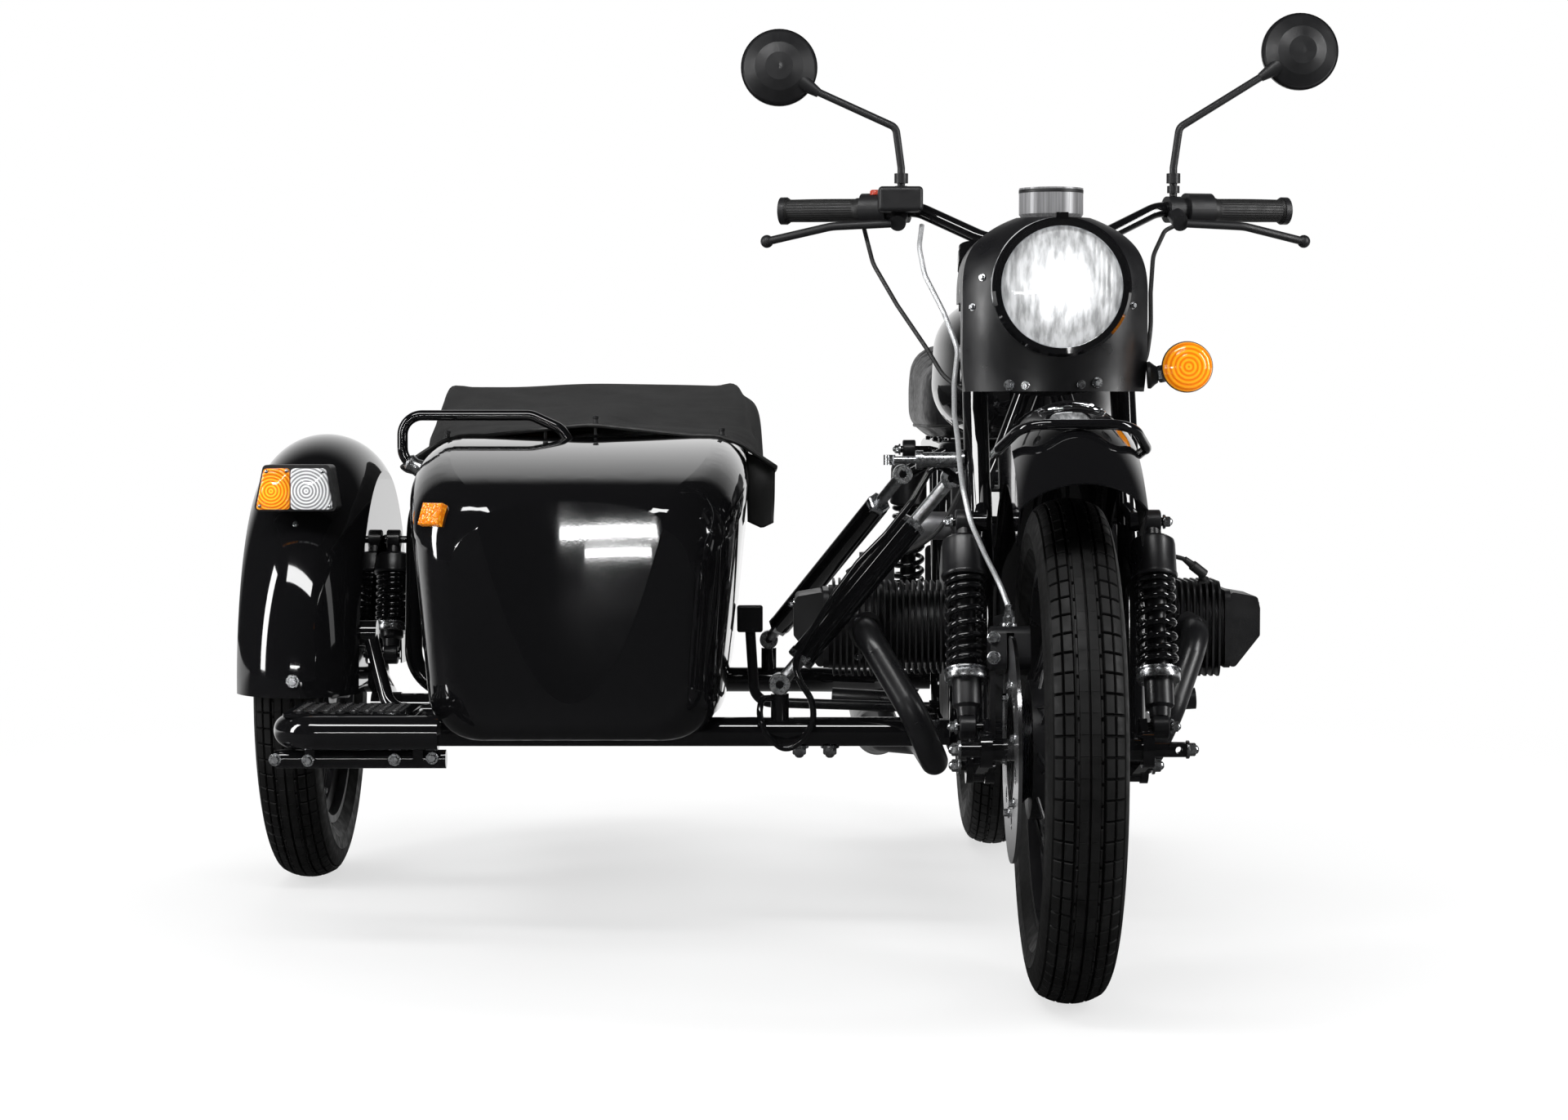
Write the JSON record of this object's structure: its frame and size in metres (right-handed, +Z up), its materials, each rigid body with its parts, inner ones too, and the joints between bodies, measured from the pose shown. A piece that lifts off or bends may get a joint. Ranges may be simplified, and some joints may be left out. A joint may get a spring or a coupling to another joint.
{
  "type": "sidecar motorcycle",
  "caption": "Flat-twin motorcycle with a boat-shaped passenger sidecar on its right, spoked wheels, leading-link fork, tube frames and a fabric cockpit cover.",
  "frame": {"origin": "on the ground under the middle of the whole outfit's extent", "axes": "+X to the rider's left, +Y to the rear, +Z up; the machine faces -Y"},
  "size_m": [1.655, 2.3659, 1.339],
  "materials": {
    "gloss_black": "gloss black enamel",
    "satin_black": "satin black coating",
    "black_alloy": "matt black cast alloy",
    "zinc": "zinc plated steel",
    "steel": "ground steel",
    "rubber": "black moulded rubber",
    "tyre": "black tread rubber",
    "black_plastic": "grained black plastic",
    "amber": "amber lens",
    "red": "red lens",
    "lens": "clear lens",
    "vinyl": "black grained cover",
    "cloth": "black woven cover"
  },
  "bodies": {
    "chassis": {"main_frame": "gloss_black", "engine_case": "black_alloy", "gearbox": "black_alloy", "cylinders": "black_alloy", "rocker_covers": "black_alloy", "carburettors": "zinc", "air_box": "black_plastic", "exhausts": "satin_black", "fuel_tank": "gloss_black", "bench_seat": "vinyl", "swinging_arm": "gloss_black", "final_drive": "black_alloy", "rear_shocks": "satin_black", "rear_mudguard": "gloss_black", "tail_lamp": "red", "plate_bracket": "satin_black", "foot_controls": "satin_black", "sidecar_frame": "gloss_black", "sidecar_arm": "satin_black", "sidecar_shock": "satin_black", "struts": "satin_black", "tub": "gloss_black", "tonneau": "cloth", "grab_rail": "gloss_black", "sidecar_mudguard": "gloss_black", "sidecar_lamps": "amber", "bumper": "gloss_black"},
    "front_wheel": {"front_wheel": "satin_black", "front_tyre": "tyre", "brake_disc": "steel"},
    "rear_wheel": {"rear_wheel": "satin_black", "rear_tyre": "tyre"},
    "side_wheel": {"side_wheel": "satin_black", "side_tyre": "tyre"},
    "steering": {"fork": "gloss_black", "front_links": "satin_black", "front_shocks": "satin_black", "brake_calliper": "zinc", "front_mudguard": "gloss_black", "mudguard_hoop": "gloss_black", "headlamp": "gloss_black", "headlamp_lens": "lens", "lamp_shroud": "gloss_black", "gauge": "black_plastic", "handlebar": "satin_black", "hand_controls": "black_plastic", "mirrors": "black_plastic", "front_indicator": "amber", "cables": "rubber", "steering_damper": "zinc"},
    "boot_lid": {"boot_lid": "gloss_black"}
  },
  "joints": [
    {"name": "steering", "type": "hinge", "parent": "chassis", "child": "steering", "pos_m": [0.3905, -0.47755, 0.8821], "axis": [0, 0.454, 0.891], "range_deg": [-35, 35]},
    {"name": "front_wheel", "type": "hinge", "parent": "steering", "child": "front_wheel", "pos_m": [0.3905, -0.857, 0.326], "axis": [1, 0, 0], "continuous": true},
    {"name": "rear_wheel", "type": "hinge", "parent": "chassis", "child": "rear_wheel", "pos_m": [0.3905, 0.638, 0.326], "axis": [1, 0, 0], "continuous": true},
    {"name": "side_wheel", "type": "hinge", "parent": "chassis", "child": "side_wheel", "pos_m": [-0.7495, 0.243, 0.326], "axis": [1, 0, 0], "continuous": true},
    {"name": "boot_lid", "type": "hinge", "parent": "chassis", "child": "boot_lid", "pos_m": [-0.2745, 0.689, 0.74603], "axis": [1, 0, 0], "range_deg": [0, 70]}
  ]
}
